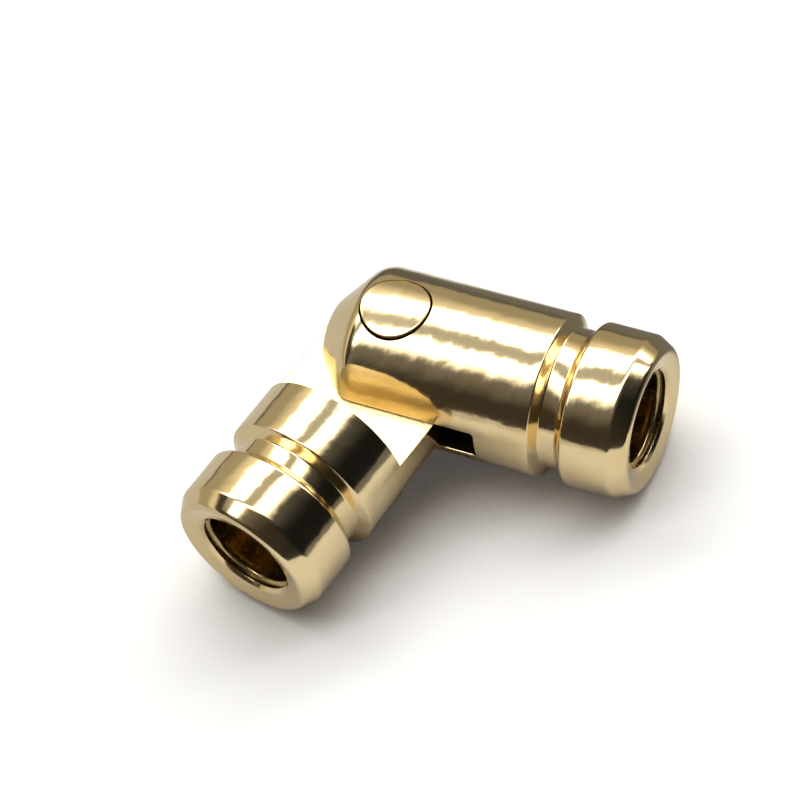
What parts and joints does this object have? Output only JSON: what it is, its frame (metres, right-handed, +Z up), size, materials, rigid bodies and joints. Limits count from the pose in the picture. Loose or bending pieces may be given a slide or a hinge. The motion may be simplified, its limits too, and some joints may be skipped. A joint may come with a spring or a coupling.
{
  "type": "barrel hinge",
  "caption": "Miniature cylindrical barrel hinge, shown bent: grooved fork and tongue barrels with blind end bores, joined by a flush cross pin.",
  "frame": {"origin": "under the centre of the box around the hinge as it lies bent, at the level it rests on", "axes": "+X along the fork barrel from the pin to its outer end, +Z up along the pin"},
  "size_m": [0.0122, 0.0112, 0.005],
  "materials": {
    "fork_brass": "polished",
    "tongue_brass": "polished",
    "pin_brass": "polished"
  },
  "bodies": {
    "fork": {"fork_barrel": "fork_brass", "pivot_pin": "pin_brass"},
    "tongue": {"tongue_barrel": "tongue_brass"}
  },
  "joints": [
    {"name": "pivot", "type": "hinge", "parent": "fork", "child": "tongue", "pos_m": [-0.00193, 0.00312, 0.0025], "axis": [0, 0, 1], "range_deg": [-181.6, 26.4]}
  ]
}
